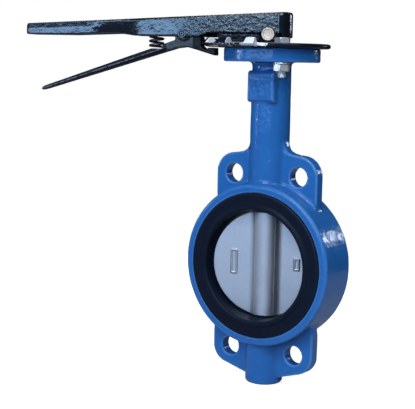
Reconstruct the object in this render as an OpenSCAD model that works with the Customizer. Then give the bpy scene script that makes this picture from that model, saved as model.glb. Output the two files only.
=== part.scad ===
// Wafer butterfly valve, DN 100, with a locking lever.
// The origin is where the stem axis crosses the axis of the bore. The bore runs along Y,
// the stem runs up +Z, and the front face of the valve looks along -Y.
// Closed, the lever points along -X. It opens by turning toward -Y.

/* [Ring and ears] */
// Outer radius of the body ring
ring_r = 75.8; // [74:0.1:78]
// Width of the cast ring along the bore
ring_width = 46; // [44:1:48]
// Pitch circle of the pipe flange bolts
flange_pcd = 180; // [178:1:182]
// Diameter of the pipe flange bolt holes
flange_hole_d = 18; // [16:0.5:19]
// Thickness of the ears that carry the bolt holes
ear_thickness = 12; // [9:1:16]
// Radius of an upper ear about its bolt hole
ear_r = 19.5; // [17:0.5:22]
// Corner radius of a lower ear
lower_ear_r = 17.6; // [16:0.1:20]

/* [Neck and boss] */
// Height of the top flange above the bore axis
neck_top = 200; // [190:1:210]
// Thickness of the top flange
top_flange_t = 12.6; // [10:0.1:15]
// Radius of the top flange
top_flange_r = 44.6; // [43:0.1:47]
// Pitch circle of the top flange bolts
top_pcd = 70; // [68:1:72]
// Radius of the neck where it leaves the ring
neck_r = 19.2; // [18:0.1:21]
// Depth of the bottom boss below the bore axis
boss_depth = 114; // [110:1:118]
// Radius of the bottom boss
boss_r = 17.7; // [16:0.1:20]

/* [Seat and disc] */
// Face to face width over the rubber seat
face_to_face = 52; // [50:0.5:54]
// Radius of the disc
disc_r = 50.5; // [49.5:0.1:50.5]
// Thickness of the disc web
disc_web = 9; // [7:0.5:10]
// Radius of the disc hub
disc_hub_r = 13; // [12:0.5:14]
// Angle by which the valve stands open
opening = 18; // [0:18:90]

/* [Stem] */
// Radius of the upper stem
stem_r = 7.95; // [7.5:0.05:8]
// Radius of the lower journal
journal_r = 6.5; // [6:0.1:6.5]
// Width across the flats of the stem square
stem_square = 11; // [10:0.5:11]

/* [Lever] */
// Length of the lever from the stem axis
lever_len = 241; // [230:1:260]
// Half width of the lever at the hub
lever_half = 16; // [15:0.5:17]
// Half width of the grip
grip_half = 12.5; // [12:0.5:13.5]
// Height of the lever's top face at the stem axis
lever_top_z = 232; // [230:0.5:236]
// Distance of the trigger pivot from the stem axis
pivot_s = 82.8; // [82:0.1:84]
// Height of the trigger pivot
pivot_z = 212; // [211:0.5:213]

/* [Locking plate] */
// Radius of the round plate
plate_r = 53.6; // [52:0.1:55]
// Thickness of the plate
plate_t = 4.4; // [4:0.1:5]
// Angle between two locking notches
notch_pitch = 30; // [30:15:90]
// Width of a locking notch
notch_w = 19.2; // [17:0.1:20]

/* [Hidden] */
$fn = 96;

// Running clearance of a shaft in its bush
running = 0.05;
// Gap kept between parts that pass each other
gap = 0.3;
// Overshoot of a cutting tool past the face it opens
cut = 1;

// Bolt holes of the pipe flanges, 22.5 degrees either side of the stem axis
hole_x = flange_pcd / 2 * sin(22.5);
hole_z = flange_pcd / 2 * cos(22.5);
// Slope of the ears' outer edge toward the neck and toward the boss
upper_ear_slope = 4;
lower_ear_slope = 16.5;
ear_fillet = 9.5;
ear_ring_fillet = 8;
fillet_overlap = 0.3;
ring_edge_r = 3;
ring_wall_overlap = 2;
neck_taper = 1;
neck_fillet = 3;
boss_edge_r = 3.5;
flange_edge_r = 1;
flange_z = neck_top - top_flange_t;
top_hole_r = 4.5;
top_hole_xy = top_pcd / 2 * sin(45);

// Raised pad on the front of the neck, bevelled all round
pad_half = 14.25;
pad_y = -20.6;
pad_low = 150.5;
pad_high = 179.5;
pad_bevel = 1.5;
pad_end_bevel = 3;

// Pocket of the seat in the ring
liner_r = 62;
seat_flange_r = 67.7;
seat_step = 18;
seat_bore_r = disc_r + gap;
bead_r = 2;
bead_mid_r = 53.9;
bead_crest = 2.3;
bead_slope = 1;
seat_chamfer = 0.8;
seat_face = face_to_face / 2 - 1.25;
seat_flat_z = 49.9;
seat_flat_r = 15;

// Stem and its bores
bush_r = 10.5;
stem_bore_r = 9;
collar_z = 171;
collar_h = 4;
collar_r = 10;
upper_bush_z = 176;
upper_bush_h = 18;
washer_h = 1.2;
washer_slack = 0.1;
ring_h = 1.3;
ring_groove_r = 12;
ring_band = 3;
ring_split = 1.6;
lug_x = 2.4;
lug_r = 1.4;
lug_y = bush_r - 0.4;
plier_hole_r = 0.7;
middle_bush_z = 70;
middle_bush_h = 22;
lower_bush_z = -100;
lower_bush_h = 24;
lower_bush_r = 8.5;
stem_bottom = -101;
stem_end_gap = 2;
stem_top = 228;
drive_half = 46;
drive_flats = 13;
square_z = neck_top + 3;
o_ring_r = 1.2;
o_ring_mid_r = stem_bore_r - running - o_ring_r;
o_ring_floor_r = o_ring_mid_r - o_ring_r - running;
o_ring_zs = [150, 158];
disc_ring_r = 1;
disc_ring_z = 47.6;
disc_flat_z = 49.6;

// Hollows that blend the disc's web into its hub
disc_blend_r = 7;

// Locking plate, its rack and its fixings
plate_bore_r = 11;
plate_rim_in = 6;
plate_rim_w = 8.6;
plate_rim_step = 0.15;
rack_inner = 52;
rack_outer = 65.5;
rack_low = neck_top + 0.3;
rack_high = neck_top + 8.6;
rack_crest = neck_top + 3.4;
rack_bevel = 5;
rack_back_bevel = 4;
rack_back_fall = 1;
rack_from = -15;
rack_to = 105.5;
notch_turn = -1.5;
notch_root = 50;
notch_sill_r = 60.8;
rim_from = -24;
rim_to = 114;
notch_count = floor(90 / notch_pitch);
m8_r = 4;
m8_af = 13;
m8_head_h = 4.8;
m8_nut_h = 6.5;
m8_washer_r = 8;
m8_washer_h = 1.6;
head_overlap = 0.5;
bolt_end = neck_top - 26.5;

// Lever
lever_fall = 2.85;
hub_r = 18.4;
hub_z = neck_top + plate_t + 0.5;
hub_skirt_z = neck_top + 9.5;
hub_foot_r = 14;
hub_edge = 2.5;
grip_edge = 1.5;
wall_z = 213.2;
wall_end_s = 58;
lobe_r = 8.4;
grip_s = 146;
grip_z = 211.4;
grip_h = 12.2;
grip_tip = 3;
lever_wall = 4.3;
lever_roof = 5;
square_fit = 0.05;
taper_from = 62;
taper_to = 130;
rib_half = 9;
rib_s = 49.5;
rib_z = hub_z + 0.5;
channel_from = 51;
channel_end = 7;
screw_z = 212.5;
screw_face = lever_half;
screw_af = 12;
spring_s = 112;
spring_roof_z = 221.6;

// Trigger
pin_r = 3;
pin_head_r = 3.9;
pin_head_h = 0.8;
pin_end = 3;
pin_groove = 0.5;
pin_groove_end = 2;
clip_r = 5.6;
clip_h = 0.8;
clip_gap = 0.2;
clip_split = 3.6;
trigger_half = 7.5;
trigger_boss_r = 6;
trigger_boss_gap = 0.7;
dog_half = 7;
trigger_hub_r = 9;
tail_top_slope = 18.9;
tail_low_slope = 17.2;
trigger_tip_s = 228;
trigger_tip_z = pivot_z - 55.8;
trigger_tip_t = 3.4;
tip_edge = 1.5;
tip_edge_h = 1;
tip_taper = 6;
tip_half = 3.5;
dog_s = 53;
dog_z = neck_top - 0.4;
sill_z = neck_top - 2.2;
sill_rise = 3.4;
dog_low = neck_top - 7.8;
dog_root_s = rack_outer + 1.1;
dog_sill_s = notch_sill_r - 0.6;
arm_z = pivot_z - 3;
belly = [[pivot_s - dog_s - 13, 4.8], [pivot_s - dog_s - 2, 7.7]];
spring_seat_z = 198;
spring_seat_half = 8;
spring_r = 7.4;
spring_wire_r = 1.2;
spring_turns = 4.5;
spring_steps = 20;
wire_sides = 8;

// Height of the lever's top face at a distance from the stem axis
function lever_top(s) = lever_top_z - s * tan(lever_fall);

// Half width of the lever just behind the head of the pin
function pin_wall() = lever_half
    - (lever_half - grip_half) * (pivot_s - pin_head_r - taper_from) / (taper_to - taper_from);

// Angle at which a line from a point touches a circle about the pivot
function touch(s, z, r) = asin(r / norm([s - pivot_s, z - pivot_z]));

// Turns a shape that revolves about Z so that it revolves about the bore
module about_bore() {
    rotate([90, 0, 0])
        children();
}

// Cylinder along the bore, centred on the stem plane
module bore_cylinder(r, width) {
    about_bore()
        cylinder(r = r, h = width, center = true);
}

// Turns the moving parts to the angle at which the valve stands
module turned() {
    rotate([0, 0, opening])
        children();
}

// Extrudes a side view, drawn as distance from the stem and height, across the lever
module side_view(half) {
    mirror([1, 0, 0])
        rotate([90, 0, 0])
            linear_extrude(2 * half, center = true)
                children();
}

// Extrudes a plan view, drawn as distance from the stem and half width, up the lever
module plan_view(low, high) {
    mirror([1, 0, 0])
        translate([0, 0, low])
            linear_extrude(high - low)
                children();
}

// Cylinder across the lever at a distance from the stem and a height
module cross_cylinder(s, z, r, from, to) {
    translate([-s, -from, z])
        rotate([90, 0, 0])
            cylinder(r = r, h = to - from);
}

// Ring about Z
module ring_about_z(inner, outer, low, h) {
    translate([0, 0, low])
        difference() {
            cylinder(r = outer, h = h);
            translate([0, 0, -cut])
                cylinder(r = inner, h = h + 2 * cut);
        }
}

// O-ring about Z
module o_ring(mid, section, z) {
    translate([0, 0, z])
        rotate_extrude()
            translate([mid, 0])
                circle(r = section, $fn = 32);
}

// Places children at the two fitted holes of the top flange
module at_plate_bolts() {
    for (side = [1, -1])
        translate([side * top_hole_xy, -side * top_hole_xy, 0])
            children();
}

// Hexagon prism, given by its width across the flats
module hexagon(across_flats, h) {
    cylinder(r = across_flats / 2 / cos(30), h = h, $fn = 6);
}

// ---------------------------------------------------------------- body

// Section of the ring, with rounded outer edges
module ring_section() {
    inner = liner_r - ring_wall_overlap;
    half = ring_width / 2;
    difference() {
        translate([inner, -half])
            square([ring_r - inner, ring_width]);
        for (side = [-1, 1])
            translate([ring_r - ring_edge_r, side * (half - ring_edge_r)])
                difference() {
                    translate([0, side > 0 ? 0 : -ring_edge_r - cut])
                        square(ring_edge_r + cut);
                    circle(r = ring_edge_r);
                }
    }
}

// Outline of one pair of ears, seen along the bore
module ear_outline(slope, corner_r) {
    outer = hole_x + ear_r;
    corner_x = outer - corner_r;
    knee_x = corner_x + corner_r * sin(slope);
    knee_z = hole_z + corner_r * cos(slope);
    for (side = [-1, 1])
        translate([side * corner_x, hole_z])
            circle(r = corner_r);
    polygon([
        [-outer, 0],
        [outer, 0],
        [outer, hole_z],
        [knee_x, knee_z],
        [0, knee_z + knee_x * tan(slope)],
        [-knee_x, knee_z],
        [-outer, hole_z]
    ]);
    for (side = [0, 1])
        mirror([side, 0])
            ear_ring_corner(outer);
}

// Concave fillet between the outer edge of an ear and the ring
module ear_ring_corner(outer) {
    reach = ring_r + ear_ring_fillet - fillet_overlap;
    mid_x = outer + ear_ring_fillet;
    mid_z = sqrt(pow(reach, 2) - pow(mid_x, 2));
    inward = 1 - ear_ring_fillet / reach;
    difference() {
        translate([outer - cut, mid_z * inward])
            square([mid_x * inward - outer + cut, mid_z * (1 - inward)]);
        translate([mid_x, mid_z])
            circle(r = ear_ring_fillet);
    }
}

// Concave fillets between the ears' top edge and the neck
module neck_ear_fillets() {
    edge_x = neck_r;
    edge_z = hole_z + ear_r * cos(upper_ear_slope)
        + (hole_x - edge_x) * tan(upper_ear_slope);
    for (side = [-1, 1])
        translate([side * edge_x, edge_z])
            difference() {
                translate([side > 0 ? -cut : -ear_fillet, -cut])
                    square([ear_fillet + cut, ear_fillet + cut]);
                translate([side * ear_fillet, ear_fillet])
                    circle(r = ear_fillet);
            }
}

module ears() {
    about_bore()
        linear_extrude(ear_thickness, center = true) {
            ear_outline(upper_ear_slope, ear_r);
            neck_ear_fillets();
            mirror([0, 1])
                ear_outline(lower_ear_slope, lower_ear_r);
        }
}

module neck() {
    cylinder(r1 = neck_r, r2 = neck_r - neck_taper, h = flange_z + cut);
    rotate_extrude()
        translate([neck_r - neck_taper, flange_z - neck_fillet])
            difference() {
                translate([-cut, 0])
                    square([neck_fillet + cut, neck_fillet + cut]);
                translate([neck_fillet, 0])
                    circle(r = neck_fillet);
            }
    rotate_extrude()
        polygon([
            [0, flange_z],
            [top_flange_r - flange_edge_r, flange_z],
            [top_flange_r, flange_z + flange_edge_r],
            [top_flange_r, neck_top - flange_edge_r],
            [top_flange_r - flange_edge_r, neck_top],
            [0, neck_top]
        ]);
}

module neck_pad() {
    intersection() {
        translate([0, 0, pad_low])
            linear_extrude(pad_high - pad_low)
                polygon([
                    [-pad_half, 0],
                    [-pad_half, pad_y + pad_bevel],
                    [-pad_half + pad_bevel, pad_y],
                    [pad_half - pad_bevel, pad_y],
                    [pad_half, pad_y + pad_bevel],
                    [pad_half, 0]
                ]);
        rotate([90, 0, 90])
            linear_extrude(2 * pad_half + cut, center = true)
                polygon([
                    [0, pad_low],
                    [0, pad_high],
                    [pad_y + pad_end_bevel, pad_high],
                    [pad_y, pad_high - pad_end_bevel],
                    [pad_y, pad_low + pad_end_bevel],
                    [pad_y + pad_end_bevel, pad_low]
                ]);
    }
}

module boss() {
    rotate_extrude()
        difference() {
            translate([0, -boss_depth])
                square([boss_r, boss_depth]);
            translate([boss_r - boss_edge_r, -boss_depth + boss_edge_r])
                difference() {
                    translate([0, -boss_edge_r - cut])
                        square(boss_edge_r + cut);
                    circle(r = boss_edge_r);
                }
        }
}

// Everything that is bored out of the casting for the stem and its bushes
module stem_bores() {
    cylinder(r = stem_bore_r, h = neck_top + cut);
    cylinder(r = bush_r, h = middle_bush_z + middle_bush_h);
    translate([0, 0, collar_z - cut])
        cylinder(r = bush_r, h = neck_top - collar_z + 2 * cut);
    translate([0, 0, upper_bush_z + upper_bush_h + washer_h])
        cylinder(r = ring_groove_r, h = ring_h);
    translate([0, 0, stem_bottom - stem_end_gap])
        cylinder(r = lower_bush_r, h = -stem_bottom);
}

module body() {
    color("royalblue")
        difference() {
            union() {
                about_bore()
                    rotate_extrude()
                        ring_section();
                ears();
                neck();
                neck_pad();
                boss();
            }
            bore_cylinder(liner_r, ring_width + 2 * cut);
            for (side = [-1, 1])
                translate([0, side * (seat_step + ring_width / 2), 0])
                    bore_cylinder(seat_flange_r, ring_width);
            for (x = [-1, 1], z = [-1, 1])
                translate([x * hole_x, 0, z * hole_z])
                    bore_cylinder(flange_hole_d / 2, ear_thickness + 2 * cut);
            for (x = [-1, 1], y = [-1, 1])
                translate([x * top_hole_xy, y * top_hole_xy, flange_z - cut])
                    cylinder(r = top_hole_r, h = top_flange_t + 2 * cut);
            stem_bores();
        }
}

// ---------------------------------------------------------------- seat

// Half of the seat's section: liner, flange and the bead round the bore
module seat_half_section() {
    crest = face_to_face / 2;
    polygon([
        [seat_bore_r, -cut],
        [liner_r, -cut],
        [liner_r, seat_step],
        [seat_flange_r, seat_step],
        [seat_flange_r, seat_face - seat_chamfer],
        [seat_flange_r - seat_chamfer, seat_face],
        [bead_mid_r + bead_crest + bead_slope, seat_face],
        [bead_mid_r + bead_crest, crest],
        [bead_mid_r, crest],
        [bead_mid_r - bead_r * cos(45), crest - bead_r + bead_r * sin(45)],
        [bead_mid_r - bead_r, crest - bead_r],
        [seat_bore_r, disc_hub_r + cut]
    ]);
    translate([bead_mid_r, crest - bead_r])
        circle(r = bead_r);
}

module seat() {
    color("#14161c")
        difference() {
            union() {
                about_bore()
                    rotate_extrude() {
                        seat_half_section();
                        mirror([0, 1])
                            seat_half_section();
                    }
                intersection() {
                    for (side = [-1, 1])
                        translate([0, 0, side > 0 ? seat_flat_z : -liner_r + cut])
                            cylinder(r = seat_flat_r, h = liner_r - seat_flat_z - cut);
                    bore_cylinder(liner_r - cut, 2 * seat_step);
                }
            }
            cylinder(r = stem_r + gap, h = ring_r);
            translate([0, 0, -ring_r])
                cylinder(r = journal_r + gap, h = ring_r);
        }
}

// ---------------------------------------------------------------- stem bearings

module upper_bush() {
    color("peru")
        ring_about_z(stem_r + running, bush_r, upper_bush_z, upper_bush_h);
}

module middle_bush() {
    color("peru")
        ring_about_z(stem_r + running, bush_r, middle_bush_z, middle_bush_h);
}

module lower_bush() {
    color("peru")
        ring_about_z(journal_r + running, lower_bush_r, lower_bush_z, lower_bush_h);
}

module thrust_washer() {
    color("silver")
        ring_about_z(stem_r + gap, bush_r - washer_slack, upper_bush_z + upper_bush_h, washer_h);
}

// Internal snap ring with its open ends and two plier holes
module retaining_ring() {
    low = upper_bush_z + upper_bush_h + washer_h;
    color("dimgray")
        difference() {
            union() {
                ring_about_z(ring_groove_r - ring_band + washer_slack,
                    ring_groove_r - washer_slack, low, ring_h);
                for (side = [-1, 1])
                    translate([side * lug_x, lug_y, low])
                        cylinder(r = lug_r, h = ring_h, $fn = 32);
            }
            translate([-ring_split / 2, 0, low - cut])
                cube([ring_split, ring_groove_r + cut, ring_h + 2 * cut]);
            for (side = [-1, 1])
                translate([side * lug_x, lug_y, low - cut])
                    cylinder(r = plier_hole_r, h = ring_h + 2 * cut, $fn = 32);
        }
}

// ---------------------------------------------------------------- locking plate

// Turns a shape drawn at the closed position of the lever to an angle toward open
module at_lever_angle(angle) {
    rotate([0, 0, angle])
        mirror([1, 0, 0])
            children();
}

// Section of the toothed rack, sharpened outward so that the dog slides past
module rack_section() {
    polygon([
        [rack_inner - cut, rack_low],
        [rack_outer - rack_bevel, rack_low],
        [rack_outer, rack_crest],
        [rack_outer - rack_bevel, rack_high],
        [rack_inner + rack_back_bevel, rack_high],
        [rack_inner, rack_crest],
        [rack_inner - cut, rack_crest - rack_back_fall]
    ]);
}

// Section of the plate with a rounded rim
module plate_section() {
    translate([plate_bore_r, neck_top])
        square([plate_r - plate_t / 2 - plate_bore_r, plate_t]);
    translate([plate_r - plate_t / 2, neck_top + plate_t / 2])
        circle(r = plate_t / 2);
}

// One locking notch: a slot through the plate, and a gap in the teeth above the outer rim
module notch() {
    height = rack_high - neck_top + 2 * cut;
    translate([notch_root, -notch_w / 2, neck_top - cut])
        cube([notch_sill_r - notch_root, notch_w, height]);
    translate([notch_sill_r - cut, -notch_w / 2, rack_crest + gap])
        cube([rack_outer, notch_w, height]);
}

module notch_plate() {
    color("#1b1d22")
        difference() {
            union() {
                rotate_extrude()
                    plate_section();
                rotate([0, 0, 180 + rim_from])
                    rotate_extrude(angle = rim_to - rim_from)
                        translate([rack_inner - plate_rim_in, neck_top + plate_rim_step])
                            square([plate_rim_w, plate_t - 2 * plate_rim_step]);
                rotate([0, 0, 180 + rack_from])
                    rotate_extrude(angle = rack_to - rack_from)
                        rack_section();
            }
            for (i = [0:notch_count])
                at_lever_angle(i * notch_pitch + notch_turn)
                    notch();
            at_plate_bolts()
                translate([0, 0, neck_top - cut])
                    cylinder(r = top_hole_r, h = plate_t + 2 * cut);
        }
}

module plate_bolts() {
    color("lightgray")
        at_plate_bolts() {
            translate([0, 0, neck_top + plate_t])
                hexagon(m8_af, m8_head_h);
            translate([0, 0, bolt_end])
                cylinder(r = m8_r, h = neck_top + plate_t - bolt_end + head_overlap);
        }
}

module plate_washers() {
    color("lightgray")
        at_plate_bolts()
            ring_about_z(m8_r + gap, m8_washer_r, flange_z - m8_washer_h, m8_washer_h);
}

module plate_nuts() {
    color("lightgray")
        at_plate_bolts()
            difference() {
                translate([0, 0, flange_z - m8_washer_h - m8_nut_h])
                    hexagon(m8_af, m8_nut_h);
                translate([0, 0, flange_z - m8_washer_h - m8_nut_h - cut])
                    cylinder(r = m8_r, h = m8_nut_h + 2 * cut);
            }
}

// ---------------------------------------------------------------- disc and stem

// Plan of the disc: web, round hub and the hollows that blend them
module disc_plan() {
    hollow_y = disc_web / 2 + disc_blend_r;
    hollow_x = sqrt(pow(disc_hub_r + disc_blend_r, 2) - pow(hollow_y, 2));
    blend_y = disc_web / 2 + disc_blend_r * disc_hub_r / (disc_hub_r + disc_blend_r);
    square([2 * disc_r, disc_web], center = true);
    circle(r = disc_hub_r);
    difference() {
        square([2 * hollow_x, 2 * blend_y], center = true);
        for (x = [-1, 1], y = [-1, 1])
            translate([x * hollow_x, y * hollow_y])
                circle(r = disc_blend_r);
    }
}

module disc() {
    color("#9fb0cc")
        turned()
            difference() {
                intersection() {
                    translate([0, 0, -disc_flat_z])
                        linear_extrude(2 * disc_flat_z)
                            disc_plan();
                    sphere(r = disc_r);
                }
                drive_section(stem_r + running, drive_flats + running);
                translate([0, 0, drive_half])
                    cylinder(r = stem_r + running, h = disc_r);
                translate([0, 0, -disc_r - drive_half])
                    cylinder(r = journal_r + running, h = disc_r + cut);
                for (groove = [[disc_ring_z, stem_r], [-disc_ring_z, journal_r]])
                    translate([0, 0, groove[0] - disc_ring_r - running])
                        cylinder(
                            r = groove[1] + 2 * (disc_ring_r + running),
                            h = 2 * (disc_ring_r + running)
                        );
            }
}

// Part of the stem that drives the disc: a round bar with two flats
module drive_section(r, flats) {
    intersection() {
        translate([0, 0, -drive_half])
            cylinder(r = r, h = 2 * drive_half);
        cube([4 * r, flats, 2 * drive_half], center = true);
    }
}

module stem() {
    color("lightsteelblue")
        turned()
            difference() {
                union() {
                    translate([0, 0, stem_bottom])
                        cylinder(r = journal_r, h = -stem_bottom);
                    drive_section(stem_r, drive_flats);
                    translate([0, 0, drive_half])
                        cylinder(r = stem_r, h = square_z - drive_half);
                    translate([0, 0, collar_z])
                        cylinder(r = collar_r, h = collar_h);
                    translate([0, 0, (square_z + stem_top) / 2])
                        cube([stem_square, stem_square, stem_top - square_z + 2 * gap],
                            center = true);
                }
                for (z = o_ring_zs)
                    ring_about_z(o_ring_floor_r, stem_r + cut, z - o_ring_r - gap, 2 * (o_ring_r + gap));
            }
}

module stem_o_rings() {
    color("#101010")
        turned()
            for (z = o_ring_zs)
                o_ring(o_ring_mid_r, o_ring_r, z);
}

module disc_o_rings() {
    color("#101010")
        turned() {
            o_ring(stem_r + running + disc_ring_r, disc_ring_r, disc_ring_z);
            o_ring(journal_r + running + disc_ring_r, disc_ring_r, -disc_ring_z);
        }
}

// ---------------------------------------------------------------- lever

// Side view of the lever: flat sloping top, lobe at the pivot, slim grip
module lever_side() {
    hub_touch = touch(wall_end_s, wall_z, lobe_r) + atan((wall_z - pivot_z) / (pivot_s - wall_end_s));
    grip_touch = touch(grip_s, grip_z, lobe_r) + atan((grip_z - pivot_z) / (grip_s - pivot_s));
    end_low = lever_top(lever_len) - grip_h;
    polygon([
        [-hub_r - cut, hub_skirt_z],
        [-screw_af, hub_skirt_z],
        [-screw_af, wall_z],
        [wall_end_s, wall_z],
        [pivot_s - lobe_r * sin(hub_touch), pivot_z - lobe_r * cos(hub_touch)],
        [pivot_s + lobe_r * sin(grip_touch), pivot_z - lobe_r * cos(grip_touch)],
        [grip_s, grip_z],
        [lever_len - grip_tip, end_low],
        [lever_len, end_low + grip_tip],
        [lever_len, lever_top(lever_len) - grip_edge],
        [lever_len - grip_edge, lever_top(lever_len)],
        [hub_edge - hub_r, lever_top(-hub_r)],
        [-hub_r - cut, lever_top(-hub_r) - hub_edge - cut]
    ]);
    translate([pivot_s, pivot_z])
        circle(r = lobe_r);
}

// Plan view of the lever, or of its channel when it is inset by the wall
module lever_plan(inset) {
    polygon([
        [0, lever_half - inset],
        [taper_from, lever_half - inset],
        [taper_to, grip_half - inset],
        [lever_len - grip_tip, grip_half - inset],
        [lever_len, grip_half - grip_tip],
        [lever_len, grip_tip - grip_half],
        [lever_len - grip_tip, inset - grip_half],
        [taper_to, inset - grip_half],
        [taper_from, inset - lever_half],
        [0, inset - lever_half]
    ]);
}

module lever_solid() {
    intersection() {
        side_view(lever_half + cut)
            lever_side();
        plan_view(hub_skirt_z, lever_top_z + hub_edge) {
            lever_plan(0);
            intersection() {
                circle(r = hub_r);
                square([4 * hub_r, 2 * lever_half], center = true);
            }
        }
    }
    translate([0, 0, hub_z])
        cylinder(r = hub_foot_r, h = wall_z - hub_z);
    plan_view(rib_z, wall_z + cut)
        translate([0, -rib_half])
            square([rib_s, 2 * rib_half]);
}

// Channel that is open downward, with the flat seat of the spring in its roof
module lever_channel() {
    channel_to = lever_len - channel_end;
    intersection() {
        side_view(lever_half) {
            polygon([
                [channel_from, hub_z - cut],
                [channel_from, lever_top(channel_from) - lever_roof],
                [channel_to, lever_top(channel_to) - lever_roof],
                [channel_to, hub_z - cut]
            ]);
            translate([spring_s - spring_seat_half, wall_z])
                square([2 * spring_seat_half, spring_roof_z - wall_z]);
        }
        plan_view(hub_z - 2 * cut, lever_top_z)
            intersection() {
                lever_plan(lever_wall);
                translate([channel_from, -lever_half])
                    square([channel_to - channel_from, 2 * lever_half]);
            }
    }
}

module lever() {
    socket = stem_square + 2 * square_fit;
    color("#20242c")
        turned()
            difference() {
                lever_solid();
                lever_channel();
                translate([0, 0, (hub_z + lever_top_z) / 2])
                    cube([socket, socket, lever_top_z], center = true);
                cross_cylinder(pivot_s, pivot_z, pin_r + running, -hub_r, hub_r);
                cross_cylinder(0, screw_z, m8_r, 0, hub_r + cut);
            }
}

// Hexagon screw that clamps the lever on a flat of the stem
module lever_set_screw() {
    color("lightgray")
        turned() {
            cross_cylinder(0, screw_z, m8_r, stem_square / 2 + 2 * square_fit, screw_face + head_overlap);
            translate([0, -screw_face, screw_z])
                rotate([90, 0, 0])
                    hexagon(screw_af, m8_head_h);
        }
}

// Headed pin through both walls of the lever, grooved for its clip
module pivot_pin() {
    wall = pin_wall();
    clip_t = -wall - clip_gap;
    color("#2a2d33")
        turned()
            difference() {
                union() {
                    cross_cylinder(pivot_s, pivot_z, pin_r, -wall - pin_end, wall);
                    cross_cylinder(pivot_s, pivot_z, pin_head_r, wall, wall + pin_head_h);
                }
                difference() {
                    cross_cylinder(pivot_s, pivot_z, pin_r + cut, clip_t - clip_h, clip_t);
                    cross_cylinder(pivot_s, pivot_z, pin_r - pin_groove, -wall - pin_groove_end, -wall + cut);
                }
            }
}

// Open ring that snaps into the groove of the pin
module pin_clip() {
    wall = pin_wall();
    clip_t = -wall - clip_gap;
    color("silver")
        turned()
            difference() {
                cross_cylinder(pivot_s, pivot_z, clip_r, clip_t - clip_h, clip_t);
                cross_cylinder(pivot_s, pivot_z, pin_r - pin_groove, -wall - pin_groove_end, -wall + cut);
                translate([-pivot_s - clip_split / 2, wall - cut, pivot_z - clip_r - cut])
                    cube([clip_split, 2 * cut + clip_h + clip_gap, clip_r + cut - pin_r]);
            }
}

// ---------------------------------------------------------------- trigger

// One ring of points round the wire of the spring, at a turn of the coil
function wire_ring(turn, low, rise) = [
    for (k = [0:wire_sides - 1])
        let (
            a = 360 * turn,
            b = 360 * k / wire_sides,
            r = spring_r - spring_wire_r + spring_wire_r * cos(b)
        )
        [r * cos(a), r * sin(a), low + rise * turn + spring_wire_r * sin(b)]
];

// Coil spring that pushes the tail of the trigger away from the grip
module trigger_spring() {
    low = spring_seat_z + spring_wire_r + 0.1;
    rise = (spring_roof_z - spring_seat_z - 2 * spring_wire_r - 0.2) / spring_turns;
    rings = spring_turns * spring_steps;
    points = [for (i = [0:rings]) each wire_ring(i / spring_steps, low, rise)];
    first_cap = [for (k = [0:wire_sides - 1]) k];
    last_cap = [for (k = [wire_sides - 1:-1:0]) rings * wire_sides + k];
    skin = [
        for (i = [0:rings - 1], k = [0:wire_sides - 1])
            let (
                here = i * wire_sides,
                next = here + wire_sides,
                turn = (k + 1) % wire_sides
            )
            [here + k, next + k, next + turn, here + turn]
    ];
    color("#1b1d22")
        turned()
            translate([-spring_s, 0, 0])
                polyhedron(points = points, faces = concat([first_cap], skin, [last_cap]), convexity = 10);
}

// Side view of the trigger: tail, hub about the pin and the arm of the dog
module trigger_side() {
    tail_s = pivot_s + trigger_hub_r;
    tail = trigger_tip_s - tail_s;
    polygon([
        [trigger_tip_s, trigger_tip_z + tip_edge_h],
        [trigger_tip_s - tip_edge, trigger_tip_z + trigger_tip_t],
        [tail_s, trigger_tip_z + trigger_tip_t + tail * tan(tail_top_slope)],
        [tail_s, pivot_z],
        [pivot_s - trigger_hub_r, pivot_z],
        [dog_root_s, arm_z],
        [dog_root_s, sill_z + sill_rise],
        [dog_root_s - sill_rise, sill_z],
        [dog_sill_s, sill_z],
        [dog_sill_s, dog_z],
        [dog_s, dog_z],
        [dog_s, dog_low],
        for (p = belly) [dog_s + p[0], dog_low + p[1]],
        [tail_s, trigger_tip_z + tail * tan(tail_low_slope)],
        [trigger_tip_s - tip_edge, trigger_tip_z]
    ]);
    translate([pivot_s, pivot_z])
        circle(r = trigger_hub_r);
}

// Plan view of the trigger: even in width from dog to hub, with a tail that narrows to its tip
module trigger_plan() {
    polygon([
        [dog_s, dog_half],
        [dog_root_s, trigger_half],
        [grip_s, trigger_half],
        [trigger_tip_s - tip_taper, trigger_half - cut],
        [trigger_tip_s, tip_half],
        [trigger_tip_s, -tip_half],
        [trigger_tip_s - tip_taper, cut - trigger_half],
        [grip_s, -trigger_half],
        [dog_root_s, -trigger_half],
        [dog_s, -dog_half]
    ]);
}

module trigger() {
    channel_half = pin_wall() - lever_wall - trigger_boss_gap;
    color("#1b1d22")
        turned()
            difference() {
                union() {
                    intersection() {
                        side_view(trigger_half + cut)
                            trigger_side();
                        plan_view(trigger_tip_z - cut, pivot_z + 2 * trigger_hub_r)
                            trigger_plan();
                    }
                    cross_cylinder(pivot_s, pivot_z, trigger_boss_r, -channel_half, channel_half);
                }
                cross_cylinder(pivot_s, pivot_z, pin_r + running, -hub_r, hub_r);
                translate([-spring_s - spring_seat_half, -lever_half, spring_seat_z])
                    cube([2 * spring_seat_half, 2 * lever_half, trigger_hub_r]);
            }
}

body();
seat();
upper_bush();
middle_bush();
lower_bush();
thrust_washer();
retaining_ring();
notch_plate();
plate_bolts();
plate_washers();
plate_nuts();
disc();
stem();
stem_o_rings();
disc_o_rings();
lever();
lever_set_screw();
pivot_pin();
pin_clip();
trigger_spring();
trigger();
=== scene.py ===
"""Looks of the wafer butterfly valve, built round its CAD frame.

The castings (body, seat, disc, lever, trigger), the locking plate and the stem are copies of
their CAD nodes, meshed again as one even skin, rounded, filleted and given a cast surface.
The fasteners and the spring are built here.

Lights, camera and meshes are in metres. Inside the functions that shape a piece, x, y, z,
the lever's s, t, z and every length beside them are millimetres, and MM turns them to metres.
"""
import math

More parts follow.
